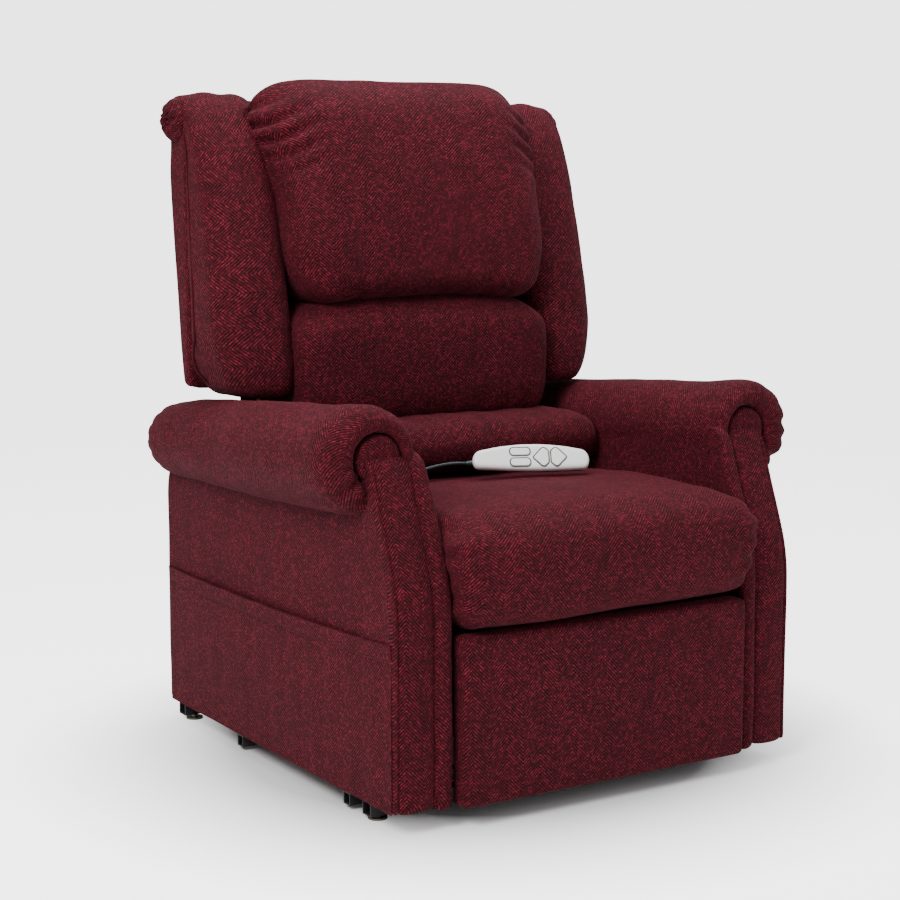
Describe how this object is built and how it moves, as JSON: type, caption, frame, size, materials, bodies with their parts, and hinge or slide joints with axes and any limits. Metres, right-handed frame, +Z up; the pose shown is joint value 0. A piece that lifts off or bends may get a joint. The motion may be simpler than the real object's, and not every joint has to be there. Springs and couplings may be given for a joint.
{
  "type": "lift recliner chair",
  "caption": "Padded lift recliner chair on a black steel lift base, with folding footrest, rolled arms, side pockets and a corded handset.",
  "frame": {"origin": "on the floor, at the middle of the chair's bounding footprint", "axes": "+Z up, -Y the way a sitter faces, +X towards the sitter's left when seated"},
  "size_m": [0.8978, 0.854, 1.13],
  "materials": {
    "burgundy_tweed": "woven chenille tweed, soft, slightly worn nap",
    "pocket_tweed": "woven chenille tweed, flat and tight",
    "black_steel": "satin black powder coat",
    "link_steel": "satin dark grey powder coat",
    "bare_steel": "plain zinc-plated steel",
    "rod_chrome": "polished piston rod",
    "spring_wire": "oil-tempered spring wire",
    "plywood": "raw birch plywood and softwood",
    "motor_plastic": "moulded charcoal nylon",
    "box_plastic": "moulded black plastic",
    "handset_white": "smooth white plastic",
    "handset_grey": "fine textured dark grey plastic",
    "key_white": "smooth white plastic with thin grey outline",
    "cord_rubber": "dark blue-black PVC sheath"
  },
  "bodies": {
    "base": {"floor_cross_tubes": "black_steel", "floor_side_rails": "black_steel", "floor_outriggers": "black_steel", "floor_glides": "bare_steel", "lift_brackets": "black_steel", "lift_motor_mount": "black_steel", "power_supply": "box_plastic", "power_inlet": "box_plastic"},
    "front_links": {"front_lift_links": "link_steel", "lift_link_tube": "link_steel"},
    "rear_links": {"rear_lift_links": "link_steel"},
    "lift_motor_body": {"lift_motor": "motor_plastic"},
    "lift_rod_body": {"lift_rod": "rod_chrome"},
    "chair": {"left_mechanism_plate": "black_steel", "right_mechanism_plate": "black_steel", "mechanism_tubes": "black_steel", "mechanism_bolts": "bare_steel", "lift_rod_mount": "black_steel", "recline_motor_mount": "black_steel", "control_box": "box_plastic", "cord_gland": "box_plastic", "seat_side_rails": "plywood", "seat_cross_rails": "plywood", "seat_springs": "spring_wire", "seat_cushion": "burgundy_tweed", "left_arm_frame": "plywood", "right_arm_frame": "plywood", "left_arm_cover": "burgundy_tweed", "right_arm_cover": "burgundy_tweed", "left_arm_roll": "burgundy_tweed", "right_arm_roll": "burgundy_tweed", "left_arm_facing": "burgundy_tweed", "right_arm_facing": "burgundy_tweed", "left_pocket": "pocket_tweed", "right_pocket": "pocket_tweed", "rear_skirt": "pocket_tweed", "handset_front": "handset_white", "handset_rear": "handset_grey", "handset_cord": "cord_rubber", "recline_motor": "motor_plastic"},
    "back": {"back_frame": "plywood", "back_hinges": "link_steel", "back_springs": "spring_wire", "outside_back": "pocket_tweed", "top_scroll": "burgundy_tweed", "top_pillow": "burgundy_tweed", "middle_pillow": "burgundy_tweed", "lumbar_roll": "burgundy_tweed", "left_wing": "burgundy_tweed", "right_wing": "burgundy_tweed"},
    "recline_rod_body": {"recline_rod": "rod_chrome"},
    "swing_links": {"footrest_swing_links": "link_steel"},
    "carry_links": {"footrest_carry_links": "link_steel"},
    "footrest": {"footrest_board": "plywood", "footrest_pad": "burgundy_tweed"},
    "up_key": {"key_up": "key_white"},
    "down_key": {"key_down": "key_white"},
    "left_key": {"key_left": "key_white"},
    "right_key": {"key_right": "key_white"}
  },
  "joints": [
    {"name": "lift", "type": "hinge", "parent": "base", "child": "front_links", "pos_m": [0, -0.221, 0.087], "axis": [1, 0, 0], "range_deg": [0, 64]},
    {"name": "rear_link_swing", "type": "hinge", "parent": "base", "child": "rear_links", "pos_m": [0, -0.175, 0.113], "axis": [1, 0, 0], "range_deg": [0, 56]},
    {"name": "chair_tilt", "type": "hinge", "parent": "front_links", "child": "chair", "pos_m": [0, 0.03, 0.087], "axis": [-1, 0, 0], "range_deg": [0, 37.5]},
    {"name": "lift_motor_swing", "type": "hinge", "parent": "base", "child": "lift_motor_body", "pos_m": [-0.06, -0.235, 0.119], "axis": [1, 0, 0], "range_deg": [0, 55]},
    {"name": "lift_rod_slide", "type": "slide", "parent": "lift_motor_body", "child": "lift_rod_body", "axis": [0, 0.8062, 0.5917], "range_m": [0, 0.075]},
    {"name": "recline", "type": "hinge", "parent": "chair", "child": "back", "pos_m": [0, 0.322, 0.4], "axis": [-1, 0, 0], "range_deg": [0, 42]},
    {"name": "recline_rod_slide", "type": "slide", "parent": "chair", "child": "recline_rod_body", "axis": [0, -0.9093, -0.4162], "range_m": [0, 0.0405]},
    {"name": "footrest_swing", "type": "hinge", "parent": "chair", "child": "swing_links", "pos_m": [0, -0.255, 0.245], "axis": [-1, 0, 0], "range_deg": [0, 126.5]},
    {"name": "footrest_knee", "type": "hinge", "parent": "swing_links", "child": "carry_links", "pos_m": [0, -0.189, 0.074], "axis": [1, 0, 0], "range_deg": [0, 126.5]},
    {"name": "footrest_turn", "type": "hinge", "parent": "carry_links", "child": "footrest", "pos_m": [0, -0.342, 0.148], "axis": [-1, 0, 0], "range_deg": [0, 84.5]},
    {"name": "up_key_press", "type": "slide", "parent": "chair", "child": "up_key", "axis": [0.3796, 0.7784, -0.5], "range_m": [0, 0.001], "stiffness_N_per_m": 700, "springref_m": -0.0006},
    {"name": "down_key_press", "type": "slide", "parent": "chair", "child": "down_key", "axis": [0.3796, 0.7784, -0.5], "range_m": [0, 0.001], "stiffness_N_per_m": 700, "springref_m": -0.0006},
    {"name": "left_key_press", "type": "slide", "parent": "chair", "child": "left_key", "axis": [0.3796, 0.7784, -0.5], "range_m": [0, 0.001], "stiffness_N_per_m": 700, "springref_m": -0.0006},
    {"name": "right_key_press", "type": "slide", "parent": "chair", "child": "right_key", "axis": [0.3796, 0.7784, -0.5], "range_m": [0, 0.001], "stiffness_N_per_m": 700, "springref_m": -0.0006}
  ],
  "couplings": [
    {"joint": "rear_link_swing", "follows": "lift", "ratio": 0.869},
    {"joint": "chair_tilt", "follows": "lift", "ratio": 0.58},
    {"joint": "lift_motor_swing", "follows": "lift", "ratio": 0.855},
    {"joint": "lift_rod_slide", "follows": "lift", "m_per_rad": 0.06625},
    {"joint": "recline_rod_slide", "follows": "recline", "m_per_rad": 0.05459},
    {"joint": "footrest_swing", "follows": "recline", "ratio": 3},
    {"joint": "footrest_knee", "follows": "recline", "ratio": 3},
    {"joint": "footrest_turn", "follows": "recline", "ratio": 2}
  ]
}
